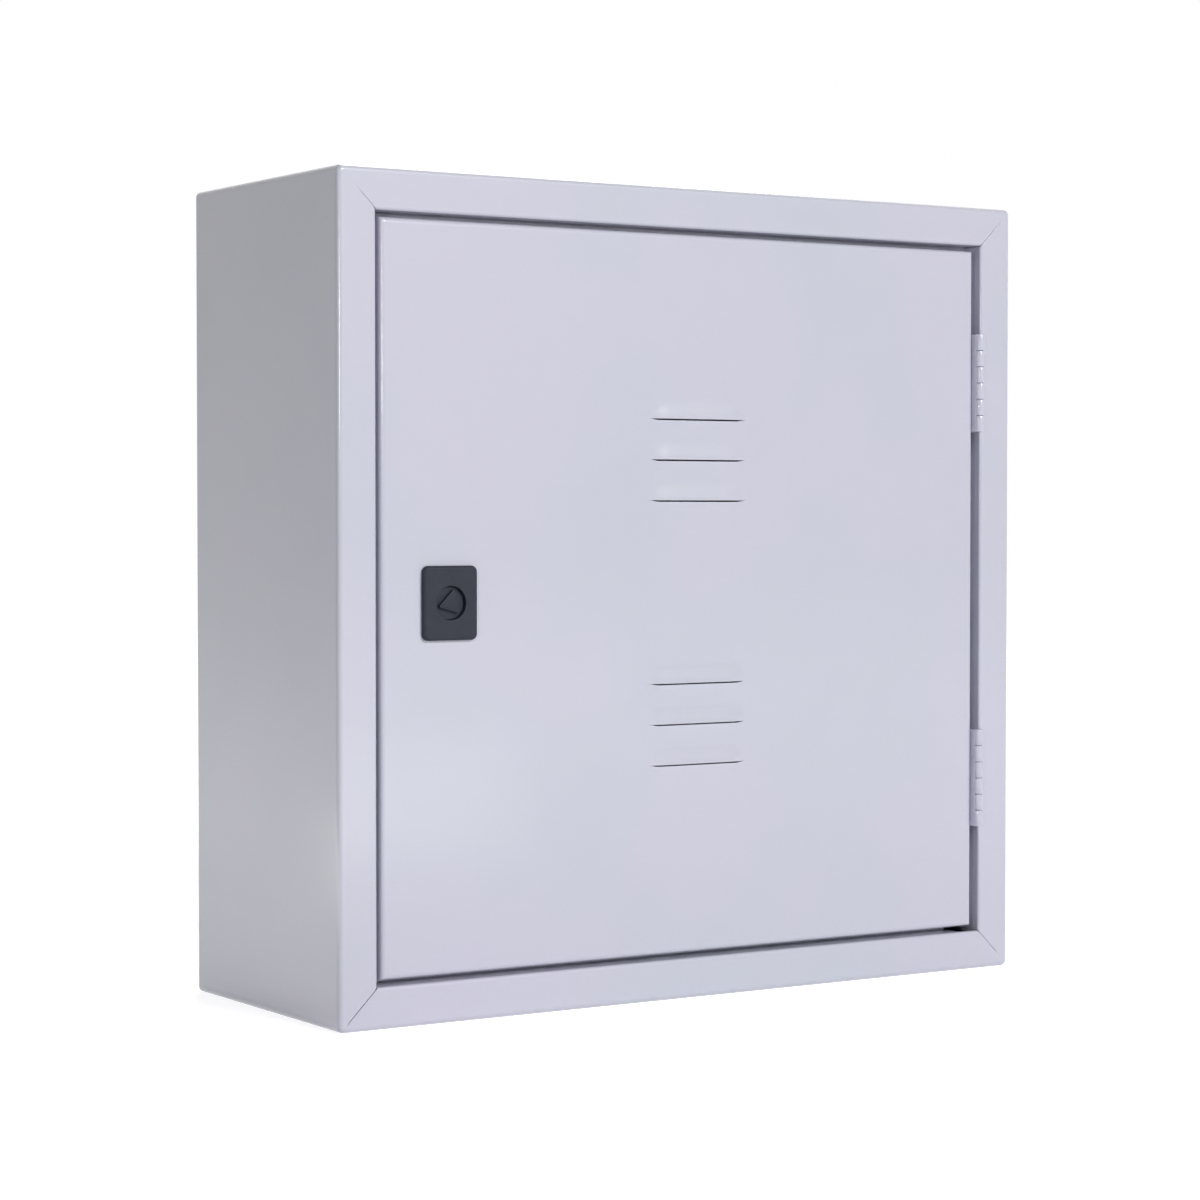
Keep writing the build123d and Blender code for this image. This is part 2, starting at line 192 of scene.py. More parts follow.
zincPlate = {
    "bright": "#cdd0d6",
    "dull": "#a9adb4",
    "warm": "#c9c5b6",  # trace of the yellow that chromating leaves
    "cloud": 14,  # size of the cloudy patches
    "scratch": 0.35,  # across a scratch, drawn coarser than the real 0.05
    "stretch": 0.12,  # scale along a scratch, to one across it
    "relief": 0.02,
    "strength": 0.2,
    "roughness": (0.42, 0.24),  # in the dull clouds and in the bright ones
    "shine": (0.3, 0.7),  # range of the clouds that counts for it
}


def brightZinc(tree, place):
    # Zinc electroplated on drawn steel and passivated: silvery, cloudy in patches, faintly yellow here
    # and blue there, with fine handling scratches.
    cloud = addNode(tree, "ShaderNodeTexNoise", {
        "Vector": place, "Scale": 1 / (zincPlate["cloud"] * mm), "Detail": 4.0, "Roughness": 0.6})
    tone = addNode(tree, "ShaderNodeValToRGB", {"Fac": cloud.outputs["Fac"]}, stops=[
        (0.3, zincPlate["dull"]), (0.5, zincPlate["bright"]), (0.75, zincPlate["warm"])])
    stretched = addNode(tree, "ShaderNodeMapping", {
        "Vector": place, "Scale": (1, zincPlate["stretch"], 1)})
    scratch = addNode(tree, "ShaderNodeTexNoise", {
        "Vector": stretched.outputs[0], "Scale": 1 / (zincPlate["scratch"] * mm), "Detail": 3.0,
        "Distortion": 0.6})
    return finish(tree, zincPlate, tone.outputs["Color"], scratch.outputs["Fac"], cloud.outputs["Fac"], {
        "Metallic": 1.0})


rolledSheet = {
    "light": "#c4c3c0",
    "dark": "#a8a7a4",
    "line": 0.4,  # across a rolling line, real about 0.05
    "run": 60,  # along it
    "relief": 0.02,
    "strength": 0.25,
    "roughness": (0.26, 0.42),
}


def rolledStainless(tree, place):
    # Cold rolled stainless sheet: grey metal, hardly warm, with fine lines along the rolling direction.
    across, along = 1 / (rolledSheet["line"] * mm), 1 / (rolledSheet["run"] * mm)
    stretched = addNode(tree, "ShaderNodeMapping", {"Vector": place, "Scale": (across, across, along)})
    lines = addNode(tree, "ShaderNodeTexNoise", {
        "Vector": stretched.outputs[0], "Scale": 1.0, "Detail": 3.0})
    tone = addNode(tree, "ShaderNodeValToRGB", {"Fac": lines.outputs["Fac"]}, stops=[
        (0.3, rolledSheet["dark"]), (0.7, rolledSheet["light"])])
    return finish(tree, rolledSheet, tone.outputs["Color"], lines.outputs["Fac"], lines.outputs["Fac"], {
        "Metallic": 1.0})


birch = {
    "pale": "#d9b98a",
    "ring": "#c79f6b",
    "pore": "#a87d4c",
    "glue": "#7d5a34",
    "drift": 16,  # over which the grain wanders on the face
    "bands": 9.0,  # of grain in one drift
    "bandStretch": 0.13,  # scale up the board, to one across it
    "veneer": 1.36,  # eleven veneers in 15 mm
    "fibre": 0.5,  # across a fibre, real about 0.1
    "fibreStretch": 0.05,
    "relief": 0.06,
    "strength": 0.3,
    "roughness": 0.55,
    "facing": (0.8, 0.9),  # share of the normal on Y at which an edge passes into a face
}


def birchPlywood(tree, place):
    # Birch plywood, sanded and sealed: the faces show wavy rotary-cut grain that runs up the board,
    # and the cut edges show veneers whose grain turns crosswise from one to the next.
    upward = addNode(tree, "ShaderNodeMapping", {"Vector": place, "Scale": (1, 1, birch["bandStretch"])})
    drift = addNode(tree, "ShaderNodeTexNoise", {
        "Vector": upward.outputs[0], "Scale": 1 / (birch["drift"] * mm), "Detail": 3.0, "Distortion": 1.2})
    bands = addNode(tree, "ShaderNodeMath", {0: drift.outputs["Fac"], 1: birch["bands"]},
                    operation="MULTIPLY")
    bands = addNode(tree, "ShaderNodeMath", {0: bands.outputs[0]}, operation="FRACT")
    fine = addNode(tree, "ShaderNodeMapping", {"Vector": place, "Scale": (1, 1, birch["fibreStretch"])})
    fibres = addNode(tree, "ShaderNodeTexNoise", {
        "Vector": fine.outputs[0], "Scale": 1 / (birch["fibre"] * mm), "Detail": 3.0})
    grain = addNode(tree, "ShaderNodeValToRGB", {"Fac": bands.outputs[0]}, stops=[
        (0.0, birch["pale"]), (0.75, birch["ring"]), (0.95, birch["pore"]), (1.0, birch["pale"])])
    face = addNode(tree, "ShaderNodeMix", {
        "Factor": fibres.outputs["Fac"], "A": grain.outputs["Color"], "B": linear(birch["pale"])},
        data_type="RGBA")
    through = addNode(tree, "ShaderNodeSeparateXYZ", {"Vector": place})
    layer = addNode(tree, "ShaderNodeMath", {0: through.outputs["Y"], 1: 1 / (2 * birch["veneer"] * mm)},
                    operation="MULTIPLY")
    layer = addNode(tree, "ShaderNodeMath", {0: layer.outputs[0]}, operation="FRACT")
    veneers = addNode(tree, "ShaderNodeValToRGB", {"Fac": layer.outputs[0]}, stops=[
        (0.0, birch["glue"]), (0.04, birch["pale"]), (0.48, birch["pale"]),
        (0.52, birch["glue"]), (0.56, birch["pore"]), (0.97, birch["pore"])])
    edge = addNode(tree, "ShaderNodeMix", {
        "Factor": fibres.outputs["Fac"], "A": veneers.outputs["Color"], "B": linear(birch["ring"])},
        data_type="RGBA")
    normal = addNode(tree, "ShaderNodeTexCoord").outputs["Normal"]
    turned = addNode(tree, "ShaderNodeSeparateXYZ", {"Vector": normal})
    onFace = addNode(tree, "ShaderNodeMath", {0: turned.outputs["Y"]}, operation="ABSOLUTE")
    onFace = addNode(tree, "ShaderNodeMapRange", {
        "Value": onFace.outputs[0], "From Min": birch["facing"][0], "From Max": birch["facing"][1]})
    tone = addNode(tree, "ShaderNodeMix", {
        "Factor": onFace.outputs[0], "A": edge.outputs["Result"], "B": face.outputs["Result"]},
        data_type="RGBA")
    bump = addNode(tree, "ShaderNodeBump", {
        "Height": fibres.outputs["Fac"], "Strength": birch["strength"], "Distance": birch["relief"] * mm})
    return addNode(tree, "ShaderNodeBsdfPrincipled", {
        "Base Color": tone.outputs["Result"], "Roughness": birch["roughness"], "IOR": 1.5,
        "Normal": bump.outputs[0]})


blockPlastic = {
    "base": "#c6c8c3",
    "shade": "#bbbdb7",
    "flow": 22,  # size of the clouds that the melt leaves
    "grain": 0.8,  # drawn coarser than the mould's real 0.1
    "relief": 0.03,
    "strength": 0.2,
    "roughness": (0.35, 0.48),
}


def greyPolyester(tree, place):
    # Glass-filled polyester of terminal blocks, moulded: cool light grey with a satin skin.
    flow = addNode(tree, "ShaderNodeTexNoise", {
        "Vector": place, "Scale": 1 / (blockPlastic["flow"] * mm), "Detail": 2.0})
    tone = addNode(tree, "ShaderNodeValToRGB", {"Fac": flow.outputs["Fac"]}, stops=[
        (0.35, blockPlastic["shade"]), (0.65, blockPlastic["base"])])
    grain = addNode(tree, "ShaderNodeTexNoise", {
        "Vector": place, "Scale": 1 / (blockPlastic["grain"] * mm), "Detail": 3.0})
    return finish(tree, blockPlastic, tone.outputs["Color"], grain.outputs["Fac"], grain.outputs["Fac"], {
        "IOR": 1.57})


tinCoat = {
    "bright": "#d6d3c8",
    "dull": "#b7b2a2",
    "flow": 1.6,  # across a run of tin
    "relief": 0.05,
    "strength": 0.3,
    "roughness": (0.46, 0.26),  # in the dull runs and in the bright ones
}


def tinnedBrass(tree, place):
    # Stamped brass dipped in tin: pale grey metal with soft runs where the tin flowed.
    flow = addNode(tree, "ShaderNodeTexNoise", {
        "Vector": place, "Scale": 1 / (tinCoat["flow"] * mm), "Detail": 2.0})
    tone = addNode(tree, "ShaderNodeValToRGB", {"Fac": flow.outputs["Fac"]}, stops=[
        (0.3, tinCoat["dull"]), (0.6, tinCoat["bright"])])
    return finish(tree, tinCoat, tone.outputs["Color"], flow.outputs["Fac"], flow.outputs["Fac"], {
        "Metallic": 1.0})


lathe = {
    "bright": "#dcb768",
    "dark": "#b98f48",
    "cloud": 5,  # size of the tarnished patches
    "mark": 0.35,  # from one tool mark to the next, real about 0.1
    "stretch": 0.05,  # scale round the axis, to one along it
    "relief": 0.02,
    "strength": 0.25,
    "roughness": (0.36, 0.21),  # in the dark clouds and in the bright ones
}


def turnedBrass(tree, place):
    # Free-cutting brass off the lathe: yellow, bright, with rings left by the tool along X.
    along = addNode(tree, "ShaderNodeMapping", {
        "Vector": place, "Scale": (1, lathe["stretch"], lathe["stretch"])})
    marks = addNode(tree, "ShaderNodeTexNoise", {
        "Vector": along.outputs[0], "Scale": 1 / (lathe["mark"] * mm), "Detail": 2.0})
    cloud = addNode(tree, "ShaderNodeTexNoise", {
        "Vector": place, "Scale": 1 / (lathe["cloud"] * mm), "Detail": 3.0})
    tone = addNode(tree, "ShaderNodeValToRGB", {"Fac": cloud.outputs["Fac"]}, stops=[
        (0.35, lathe["dark"]), (0.6, lathe["bright"])])
    return finish(tree, lathe, tone.outputs["Color"], marks.outputs["Fac"], cloud.outputs["Fac"], {
        "Metallic": 1.0})


coat = makeMaterial("powder coated steel", powderCoat)
nylon = makeMaterial("black nylon", blackNylon)
zinc = makeMaterial("bright zinc plate", brightZinc)
stainless = makeMaterial("rolled stainless steel", rolledStainless)
plywood = makeMaterial("birch plywood", birchPlywood)
polyester = makeMaterial("grey polyester", greyPolyester)
tinned = makeMaterial("tinned brass", tinnedBrass)
brass = makeMaterial("turned brass", turnedBrass)
slotMaterial = {
    "shell_paint": coat, "door_paint": coat, "hinge_paint": coat, "lock_plastic": nylon,
    "core_plastic": nylon, "zinc_steel": zinc, "frame_steel": stainless, "plywood": plywood,
    "block_plastic": polyester, "contact_metal": tinned, "earth_brass": brass,
}
for name, row in nodeRows.items():
    mesh = nodes[name].data
    mesh.materials.clear()
    mesh.materials.append(slotMaterial[row["slot"]])
print("materials made")


# Surfaces
meshing = {
    "merge": 0.001,  # points closer than this become one
    "sliver": 0.0005,  # edges shorter than this go
    "crease": 32,  # degrees between faces from which an edge stays crisp
    "threadCrease": 28,
}


def surface(points, wrapRows=False, wrapColumns=False, keep=None):
    # One grid of points, numbered row by row, and the quads between neighbours. A wrapped grid
    # closes on itself, and keep says which quads stay.
    rows, columns = points.shape[:2]
    row = np.arange(rows if wrapRows else rows - 1)[:, None]
    column = np.arange(columns if wrapColumns else columns - 1)[None, :]
    below, beside = (row + 1) % rows, (column + 1) % columns
    quads = [row * columns + column, row * columns + beside, below * columns + beside,
             below * columns + column]
    faces = np.stack(np.broadcast_arrays(*quads), -1)
    faces = faces[keep] if keep is not None else faces.reshape(-1, 4)
    return points.reshape(-1, 3), faces


def bar(loop):
    # a bar of four long edges, each a row of points, with a cap on both ends
    caps = [surface(loop[[0, 1, 3, 2], k].reshape(2, 2, 3)) for k in (0, -1)]
    return [surface(loop, wrapRows=True)] + caps


def makeMesh(name, surfaces, facing=None):
    # Puts surfaces into one mesh in metres, merges their seams and turns the faces outwards.
    # An open sheet is turned towards the direction facing instead.
    clouds, quads = zip(*surfaces)
    starts = np.cumsum([0] + [len(cloud) for cloud in clouds])
    points = np.concatenate(clouds) * mm
    faces = np.concatenate([quad + start for quad, start in zip(quads, starts)])
    mesh = bpy.data.meshes.new(name)
    mesh.from_pydata(points.tolist(), [], faces.tolist())
    work = bmesh.new()
    work.from_mesh(mesh)
    bmesh.ops.remove_doubles(work, verts=work.verts, dist=meshing["merge"] * mm)
    bmesh.ops.dissolve_degenerate(work, edges=work.edges, dist=meshing["sliver"] * mm)
    if facing is None:
        bmesh.ops.recalc_face_normals(work, faces=work.faces)
    elif sum((face.normal * face.calc_area() for face in work.faces), Vector()).dot(Vector(facing)) < 0:
        bmesh.ops.reverse_faces(work, faces=work.faces)
    work.to_mesh(mesh)
    work.free()
    return mesh


def makePiece(name, surfaces, node, material, crease=meshing["crease"], facing=None):
    # a piece that stands for a CAD node and moves with its body
    mesh = makeMesh(name, surfaces, facing)
    mesh.shade_smooth()
    mesh.set_sharp_from_angle(angle=radians(crease))
    mesh.materials.append(material)
    piece = bpy.data.objects.new(name, mesh)
    bpy.context.scene.collection.objects.link(piece)
    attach(piece, nodeRows[node]["body"])
    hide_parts(node)
    return piece


def settle(piece):
    # leaves the result of a piece's modifiers as its own mesh
    bpy.context.view_layer.update()
    shaped = bpy.data.meshes.new_from_object(piece.evaluated_get(bpy.context.evaluated_depsgraph_get()))
    piece.modifiers.clear()
    shaped.set_sharp_from_angle(angle=radians(meshing["crease"]))
    piece.data = shaped


def cutAway(piece, surfaces):
    # takes a closed form out of a piece
    cutter = bpy.data.objects.new("cutter", makeMesh("cutter", surfaces))
    bpy.context.scene.collection.objects.link(cutter)
    cut = piece.modifiers.new("cut", "BOOLEAN")
    cut.object = cutter
    cut.solver = "EXACT"
    settle(piece)
    bpy.data.objects.remove(cutter)


bends = {
    "steps": 10,  # of the arc in a fold
    "margin": 0.4,  # a point this far before and after it keeps the flats flat in the shading
}


def bentLine(corners, radii):
    # Line through corners with an arc of each radius at the inner ones, and the normal on its left:
    # the arc starts at radius times the tangent of half the turn before its corner.
    corners = np.array(corners, float)
    runs = np.diff(corners, axis=0)
    headings = runs / np.linalg.norm(runs, axis=1)[:, None]
    left = np.stack([-headings[:, 1], headings[:, 0]], 1)
    places, normals = [corners[0]], [left[0]]
    for corner, radius, before, after, side, nextSide in zip(
            corners[1:-1], radii, headings, headings[1:], left, left[1:]):
        turn = np.arctan2(before[0] * after[1] - before[1] * after[0], before @ after)
        reach = radius * np.tan(abs(turn) / 2)
        centre = corner - before * reach + side * radius * np.sign(turn)
        angle = np.linspace(0, turn, bends["steps"] + 1)[:, None]
        spun = side * np.cos(angle) + np.array([-side[1], side[0]]) * np.sin(angle)
        places += [corner - before * (reach + bends["margin"]), centre - spun * radius * np.sign(turn),
                   corner + after * (reach + bends["margin"])]
        normals += [side, spun, nextSide]
    places.append(corners[-1])
    normals.append(left[-1])
    return np.vstack(places), np.vstack(normals)


def smoothStep(start, end, value):
    # 0 before start, 1 after end, with a flat slope at both
    share = np.clip((value - start) / (end - start), 0, 1)
    return share * share * (3 - 2 * share)


cabinet = {
    "size": 400,  # width and height
    "depth": 150,
    "sheet": 1.2,
    "flange": 20,  # front border up to the opening
    "rebate": 14.5,  # front plane to the stop lip
    "stopLip": 8,
    "folds": (2.7, 1.6, 0.8),  # radius of each fold on the face that shows
    "corner": 3,  # ground weld at the four long corners
    "borderSteps": 8,  # points across the border, for its seams to begin at
    "mitreSteps": (0.75, 1, 1.3, 1.8, 2.4, 3.2, 4.5),  # points beside a mitre, past its seam
    "seamHalf": 0.36,  # from the mitre to the seam's wall
    "seamWall": 0.06,
    "seamEdge": 0.14,  # break of the sheared edge
    "seamShoulder": 0.05,  # share of the depth that is left where the edge breaks
    "seamFade": 2,
    # distance from the outer walls at which each mitre is open, welded and ground before it, and the
    # depth that the paint leaves there
    "seams": {
        "topLeft": (10, 0.4), "topRight": (7, 0.9), "bottomLeft": (2.5, 1.1), "bottomRight": (7, 0.5)},
    "knockouts": ((-90, 72), (90, 72)),  # across, out from the wall
    "knockoutRadius": 17,
    "knockoutSlot": 0.8,
    "knockoutTab": 4,
    "knockoutSteps": 40,  # of the arc in half a ring
    "knockoutCut": 4,  # reach of the cut on both sides of the outer face
    "relief": 12,  # notch in the lower return at the hinge end
    "reliefCut": 3,  # reach of its cut past the sheet
}


def sideSurfaces(mitres):
    # The left side, as (inset from its outer face, height, distance out from the wall).
    # Its section is two parallel bent lines, and each point of it runs from mitre to mitre: over the
    # first stretch it follows an arc round the corner's weld, whose radius shrinks with the inset.
    # Beside a mitre the outer line drops over a steep wall with a broken edge, so that the two sides
    # leave a fine dark seam.
    half, depth, corner = cabinet["size"] / 2, cabinet["depth"], cabinet["corner"]
    flange, stop = cabinet["flange"], depth - cabinet["rebate"]
    line, normal = bentLine(
        [(0, 0), (0, depth), (flange, depth), (flange, stop), (flange + cabinet["stopLip"], stop)],
        cabinet["folds"])
    flat = np.argmax(np.diff(line[:, 0]))  # the run across the front border
    border = np.linspace(line[flat], line[flat + 1], cabinet["borderSteps"] + 1)[1:-1]
    line = np.insert(line, flat + 1, border, axis=0)
    normal = np.insert(normal, flat + 1, np.tile(normal[flat], (len(border), 1)), axis=0)
    inward = -normal
    seam = np.cumsum([cabinet["seamHalf"], cabinet["seamWall"], cabinet["seamEdge"]])
    along = np.concatenate([[0, seam[0] / 2], seam, cabinet["mitreSteps"]])

    def face(line, share):
        # one line of the section from mitre to mitre, with this share of the seams' depth
        inset, out = line[:, :1], line[:, 1:]
        radius = np.maximum(corner - inset, 0)
        arc = radius * pi / 4
        angle = np.clip((arc - along) / np.maximum(radius, 1e-6), 0, pi / 4)
        centre = np.maximum(corner, inset)
        across = centre - radius * np.cos(angle)
        down = centre - radius * np.sin(angle) + np.maximum(along - arc, 0)
        halves = []
        for sign, (start, sink) in zip((1, -1), mitres):
            drop = share * sink * np.interp(along, seam, [1, cabinet["seamShoulder"], 0])
            drop = drop * smoothStep(start, start + cabinet["seamFade"], inset)
            grid = np.stack([across + drop * inward[:, :1], sign * (half - down),
                             out + drop * inward[:, 1:]], -1)
            halves.append(grid[:, ::sign])
        return np.concatenate(halves, axis=1)

    outer = face(line, 1)
    inner = face(line + inward * cabinet["sheet"], 0)
    loop = np.concatenate([outer, inner[::-1]])
    ends = [np.stack([outer[:, k], inner[:, k]], 1) for k in (0, -1)]
    return loop, ends


def makeSide(name, node, corners, place):
    # corners name its two mitres, and place turns (inset, height, out) into X, Y and Z
    loop, ends = sideSurfaces([cabinet["seams"][corner] for corner in corners])
    surfaces = [surface(place(loop), wrapRows=True)] + [surface(place(grid)) for grid in ends]
    return makePiece(name, surfaces, node, coat)


def boxSurfaces(low, high):
    # a block between two corners
    (x1, y1, z1), (x2, y2, z2) = low, high
    ring = np.array([(x1, y1), (x2, y1), (x2, y2), (x1, y2)], float)
    return bar(np.stack([np.column_stack([ring, np.full(4, z)]) for z in (z1, z2)], 1))


def slotSurfaces(middle, low, high):
    # a bent slot for each half of a knockout's ring: an arc between two radii, from low to high
    outer = cabinet["knockoutRadius"]
    tab = np.arcsin(cabinet["knockoutTab"] / 2 / outer)
    solids = []
    for start in (-pi / 2, pi / 2):
        angle = np.linspace(start + tab, start + pi - tab, cabinet["knockoutSteps"] + 1)
        way = np.stack([np.cos(angle), np.sin(angle)], 1)
        inside, outside = (middle + radius * way for radius in (outer - cabinet["knockoutSlot"], outer))
        edges = [(inside, low), (outside, low), (outside, high), (inside, high)]
        solids += bar(np.stack([np.column_stack([ring, np.full(len(ring), z)]) for ring, z in edges]))
    return solids


def makeCabinet():
    half, reach = cabinet["size"] / 2, cabinet["reliefCut"]

    def stack(x, y, z):
        return np.stack([x, y, z], -1)

    makeSide("leftSideSheet", "left_side", ("topLeft", "bottomLeft"),
             lambda grid: stack(grid[..., 0] - half, -grid[..., 2], grid[..., 1]))
    makeSide("rightSideSheet", "right_side", ("topRight", "bottomRight"),
             lambda grid: stack(half - grid[..., 0], -grid[..., 2], grid[..., 1]))
    top = makeSide("topSheet", "top_side", ("topRight", "topLeft"),
                   lambda grid: stack(grid[..., 1], -grid[..., 2], half - grid[..., 0]))
    bottom = makeSide("bottomSheet", "bottom_side", ("bottomRight", "bottomLeft"),
                      lambda grid: stack(grid[..., 1], -grid[..., 2], grid[..., 0] - half))
    for piece, level in ((top, half), (bottom, -half)):
        slots = []
        for across, out in cabinet["knockouts"]:
            slots += slotSurfaces(np.array([across, -out]), level - cabinet["knockoutCut"],
                                  level + cabinet["knockoutCut"])
        cutAway(piece, slots)
    opening = half - cabinet["flange"]
    stop = cabinet["depth"] - cabinet["rebate"]
    cutAway(bottom, boxSurfaces(
        (opening - cabinet["relief"], 2 * cabinet["sheet"] - cabinet["depth"], -opening - reach),
        (opening, reach - stop, 2 * cabinet["stopLip"] - opening)))


door = {
    "left": -177.8,
    "right": 175,
    "top": 177,
    "bottom": -177,
    "sheet": 1.2,
    "bend": 2.6,  # radius round the front edges
    "bendSteps": 8,
    "return": 13,  # depth of the folded edges
    "columns": 15,  # of points over the width
    "columnInset": 12,  # of the outer ones
    "louvreLength": 58,
    "louvreHeight": 9,
    "louvreRise": 1.3,
    "louvreTaper": 12,
    "louvreColumns": 61,
    "louvreRows": 13,
    "louvreMargin": (1, 0.6),  # beside a louvre and above it
    "slit": 0.75,
    "slitTaper": 6,
    "slitFoot": 3,  # row of points below a slit
    "louvres": [middle + step for middle in (66.4, -63.6) for step in (20, 0, -20)],
    "lockCut": (-152.3, -131.7, -15.3, 11.3),  # left, right, bottom, top
}


def makeDoor():
    # Grid of columns and rows. A louvre lifts the sheet by a smooth step in from each of its ends,
    # times one less the square of the climb above its lip, squared again. Its sill is a second row at
    # the lip's height, which stays flat, gives way downwards by the slit and has no faces to the lip.
    # The last rows and columns turn back round the edge, and meet on the mitre at the corners.
    bend, reach = door["bend"], door["louvreLength"] / 2
    lockLeft, lockRight, lockBottom, lockTop = door["lockCut"]
    turn = np.linspace(0, pi / 2, door["bendSteps"] + 1)
    inset = np.concatenate([[bend + bends["margin"]], bend - bend * np.sin(turn), [0, 0]])
    back = np.concatenate([[0], bend - bend * np.cos(turn), [bend + bends["margin"], door["return"]]])
    beside, above = door["louvreMargin"]
    x = np.unique(np.concatenate([
        np.linspace(-reach - beside, reach + beside, door["louvreColumns"]), [lockLeft, lockRight],
        [door["left"] + inset[0], door["right"] - inset[0]],
        np.linspace(door["left"] + door["columnInset"], door["right"] - door["columnInset"],
                    door["columns"])]))
    # each row of points has a height, and 1 where it is the sill of a louvre
    rows = [(height, 0) for height in (
        door["bottom"] + inset[0], lockBottom, lockTop, door["top"] - inset[0])]
    for lip in door["louvres"]:
        rows += [(lip, 1), (lip - door["slitFoot"], 0)]
        rows += [(lip + step, 0) for step in np.linspace(
            0, door["louvreHeight"] + above, door["louvreRows"])]
    rows.sort(key=lambda row: (row[0], -row[1]))
    z = np.array([row[0] for row in rows])
    isSill = np.array([row[1] for row in rows], bool)

    shape = smoothStep(0, door["louvreTaper"], reach - np.abs(x))
    height = np.zeros((len(z), len(x)))
    for lip in door["louvres"]:
        climb = (z - lip) / door["louvreHeight"]
        lifted = (climb >= 0) & (climb <= 1) & ~isSill
        height += np.outer(lifted * (1 - np.clip(climb, 0, 1) ** 2) ** 2, shape) * door["louvreRise"]
    drop = np.outer(isSill, smoothStep(0, door["slitTaper"], reach - np.abs(x))) * door["slit"]

    # padded lines, whose outer points take the bend's steps
    steps, pad = np.arange(len(inset)), len(inset) - 1
    rimX, rimZ = (np.concatenate([steps[::-1], np.zeros(len(line) - 2, int), steps]) for line in (x, z))
    rim = np.maximum(rimZ[:, None], rimX[None, :])
    x, z = np.pad(x, pad, mode="edge"), np.pad(z, pad, mode="edge")

    def edged(line, rimLine, low, high):
        # a place along one axis, which follows the inset from the door's edge where the bend begins
        return np.where(rimLine == 0, line, np.where(line < 0, low + inset[rim], high - inset[rim]))

    across = edged(x[None, :], rimX[None, :], door["left"], door["right"])
    up = edged(z[:, None], rimZ[:, None], door["bottom"], door["top"]) - np.pad(drop, pad)
    out = cabinet["depth"] - back[rim] + np.pad(height, pad)
    midX, midZ = (x[1:] + x[:-1]) / 2, (z[1:] + z[:-1]) / 2
    inLock = np.outer((midZ > lockBottom) & (midZ < lockTop), (midX > lockLeft) & (midX < lockRight))
    slits = np.pad(isSill, pad)[:-1, None] & np.ones((1, len(x) - 1), bool)
    sheet = surface(np.stack([across, -out, up], -1), keep=~(inLock | slits))
    piece = makePiece("doorSheet", [sheet], "door_panel", coat, facing=(0, -1, 0))
    wall = piece.modifiers.new("wall", "SOLIDIFY")
    wall.thickness = door["sheet"] * mm
    wall.offset = -1
    wall.use_even_offset = True
    settle(piece)


hinge = {
    "x": 177.5,  # axis of the pin
    "out": 152.4,
    "middles": {"upper": 108.1, "lower": -98.9},
    "length": 50.8,
    "knuckles": 6,
    "gap": 0.3,  # between knuckles
    "radius": 2.5,  # outside of the barrel
    "leaf": 1.2,
    "roll": 0.85,  # sheet where it is rolled, drawn thinner by the bend
    "shrink": 0.35,  # by which the roll's radius falls from its start to its end
    "foot": 137.5,  # inner end of the leaf, out from the wall
    "curl": 285,  # degrees that the sheet is rolled round the pin
    "curlSteps": 56,
    "edge": 0.25,  # rounding at a knuckle's ends
    "edgeStep": 0.3,  # share of it at which the rounding has its middle points
}


def hingeLeaf(name, node, middle, side, first):
    # The leaf's section runs straight out beside the gap and is then rolled round the pin, in a
    # spiral whose radius falls evenly with the angle. The plain leaf is carried along its whole
    # length, and the roll along every second knuckle, with both faces drawn in at its ends.
    angle = np.radians(np.linspace(0, hinge["curl"], hinge["curlSteps"] + 1))
    rollNormal = np.stack([np.cos(angle), np.sin(angle)], 1)
    rollRadius = hinge["radius"] - hinge["roll"] / 2 - hinge["shrink"] * angle / angle[-1]
    roll = rollRadius[:, None] * rollNormal
    leafRun = np.array([hinge["foot"] - hinge["out"], -bends["margin"], 0])
    leaf = np.stack([np.full(3, hinge["radius"] - hinge["leaf"] / 2), leafRun], 1)
    leafNormal = np.tile([1.0, 0.0], (3, 1))
    rounding = hinge["edge"] * np.array([0, hinge["edgeStep"], 1])

    def carry(line, normal, thickness, low, high):
        z = np.concatenate([low + rounding, high - rounding[::-1]])
        half = thickness / 2 - np.concatenate([rounding[::-1], rounding])
        outer = line[:, None] + normal[:, None] * half[None, :, None]
        inner = line[:, None] - normal[:, None] * half[None, :, None]
        loop = np.concatenate([outer, inner[::-1]])
        grid = np.stack([hinge["x"] + side * loop[..., 0], -(hinge["out"] + loop[..., 1]),
                         np.broadcast_to(z, loop.shape[:2])], -1)
        count = len(line)
        caps = [np.stack([grid[:count, k], grid[count:, k][::-1]], 1) for k in (0, -1)]
        return [surface(grid, wrapRows=True)] + [surface(cap) for cap in caps]

    top, bottom = middle + hinge["length"] / 2, middle - hinge["length"] / 2
    step = hinge["length"] / hinge["knuckles"]
    surfaces = carry(leaf, leafNormal, hinge["leaf"], bottom, top)
    for count in range(first, hinge["knuckles"], 2):
        high = top - count * step - (hinge["gap"] / 2 if count else 0)
        low = top - (count + 1) * step + (hinge["gap"] / 2 if count < hinge["knuckles"] - 1 else 0)
        surfaces += carry(roll, rollNormal, hinge["roll"], low, high)
    makePiece(name, surfaces, node, coat)


def makeHinges():
    for place, middle in hinge["middles"].items():
        hingeLeaf(place + "FrameLeaf", place + "_hinge_frame_leaf", middle, 1, 0)
        hingeLeaf(place + "DoorLeaf", place + "_hinge_door_leaf", middle, -1, 1)


